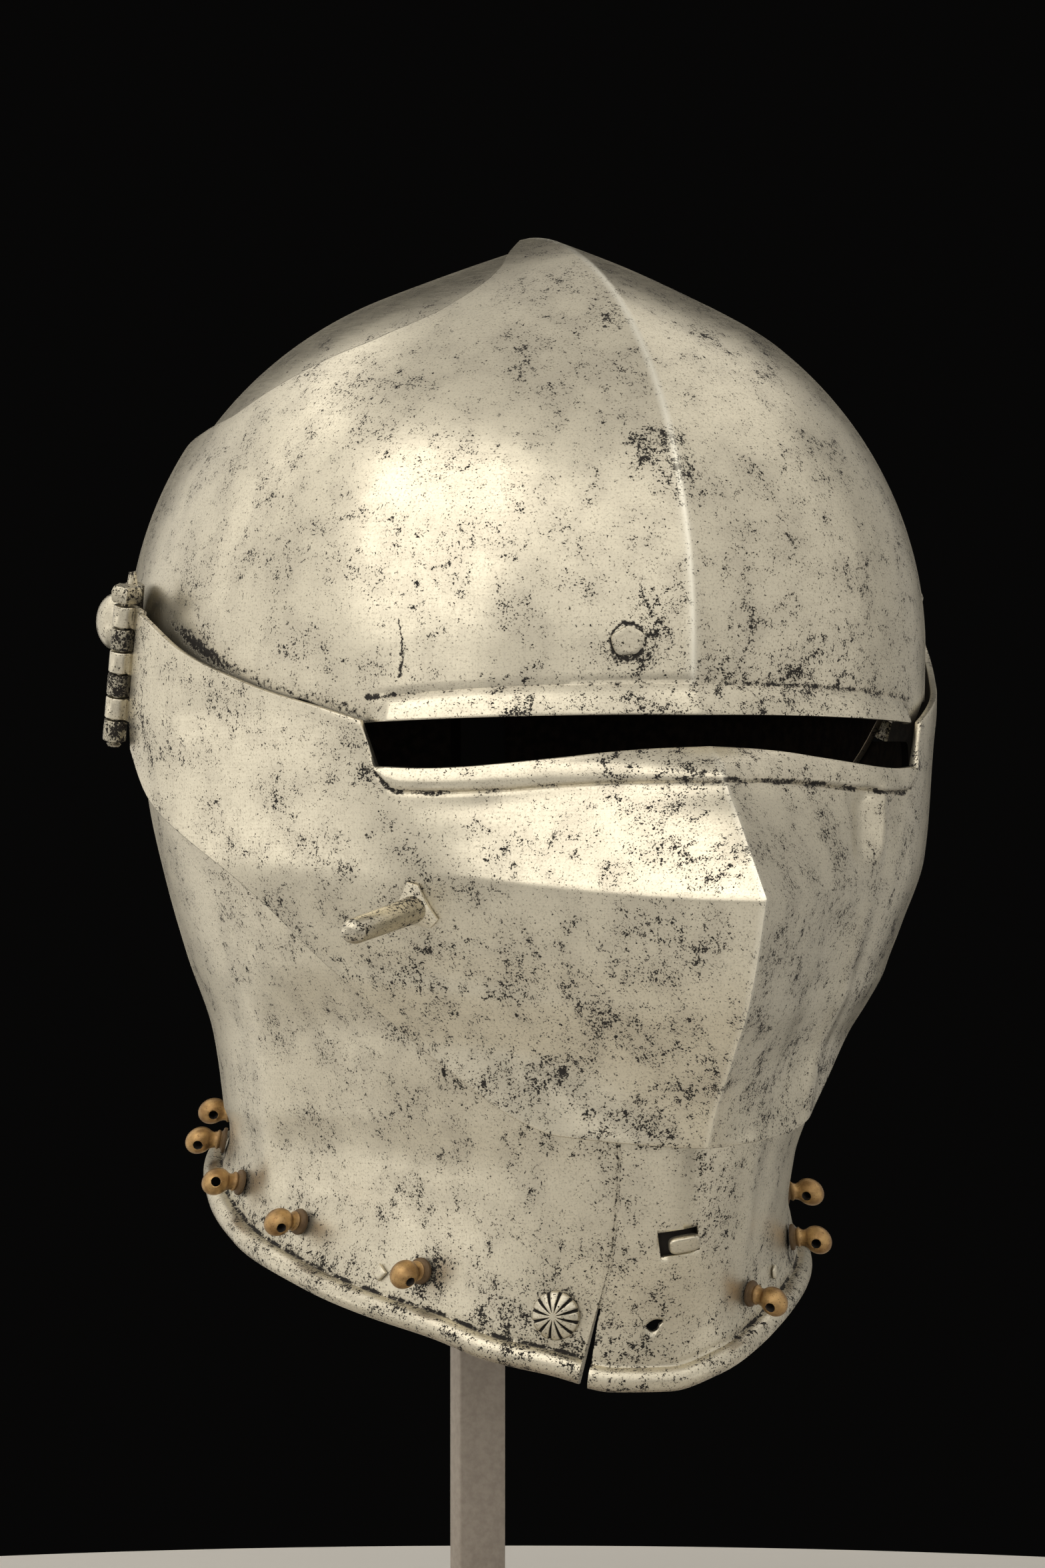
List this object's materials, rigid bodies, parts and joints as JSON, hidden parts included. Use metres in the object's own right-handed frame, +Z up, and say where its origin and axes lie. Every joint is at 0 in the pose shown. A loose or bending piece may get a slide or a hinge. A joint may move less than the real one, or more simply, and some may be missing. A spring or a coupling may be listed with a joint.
{
  "type": "armet helmet on a display stand",
  "caption": "Close helmet with a brow plate, hinged cheekpieces, pointed lifting visor and lacing studs, on a post stand.",
  "frame": {"origin": "centre of the whole object's box, on the underside of the stand's base", "axes": "+Z up, -Y the way the helmet faces, -X the wearer's right"},
  "size_m": [0.2266, 0.2791, 0.3742],
  "materials": {
    "plate_steel": "old polish, warm grey, dark pitting and fine scratches",
    "rivet_steel": "worn, dark in the grooves",
    "brass": "aged, dull gold, dark round the collars",
    "stand_paint": "matte, warm grey-brown",
    "rest_pad": "plain grey felt over a dense pad"
  },
  "bodies": {
    "helmet": {"skull": "plate_steel", "brow_plate": "plate_steel", "cheek_right": "plate_steel", "cheek_left": "plate_steel", "pivot_left": "rivet_steel", "pivot_right": "rivet_steel", "stud_1": "brass", "stud_2": "brass", "stud_3": "brass", "stud_4": "brass", "stud_5": "brass", "stud_6": "brass", "stud_7": "brass", "stud_8": "brass", "stud_9": "brass", "stud_10": "brass", "stud_11": "brass", "chin_rosette": "rivet_steel", "chin_catch": "rivet_steel", "neck_plug_front": "rivet_steel", "neck_plug_rear": "rivet_steel", "neck_rivet_left": "rivet_steel", "brow_plug": "rivet_steel", "stand_base": "stand_paint", "stand_post": "stand_paint", "crown_rest": "rest_pad"},
    "visor_group": {"visor": "plate_steel", "arm_left": "plate_steel", "arm_right": "plate_steel", "hinge_pin_left": "rivet_steel", "hinge_pin_right": "rivet_steel", "peg_washer": "rivet_steel", "lifting_peg": "rivet_steel"}
  },
  "joints": [
    {"name": "visor_pivot", "type": "hinge", "parent": "helmet", "child": "visor_group", "pos_m": [0, 0.038, 0.274], "axis": [-1, 0, 0], "range_deg": [0, 65]}
  ]
}
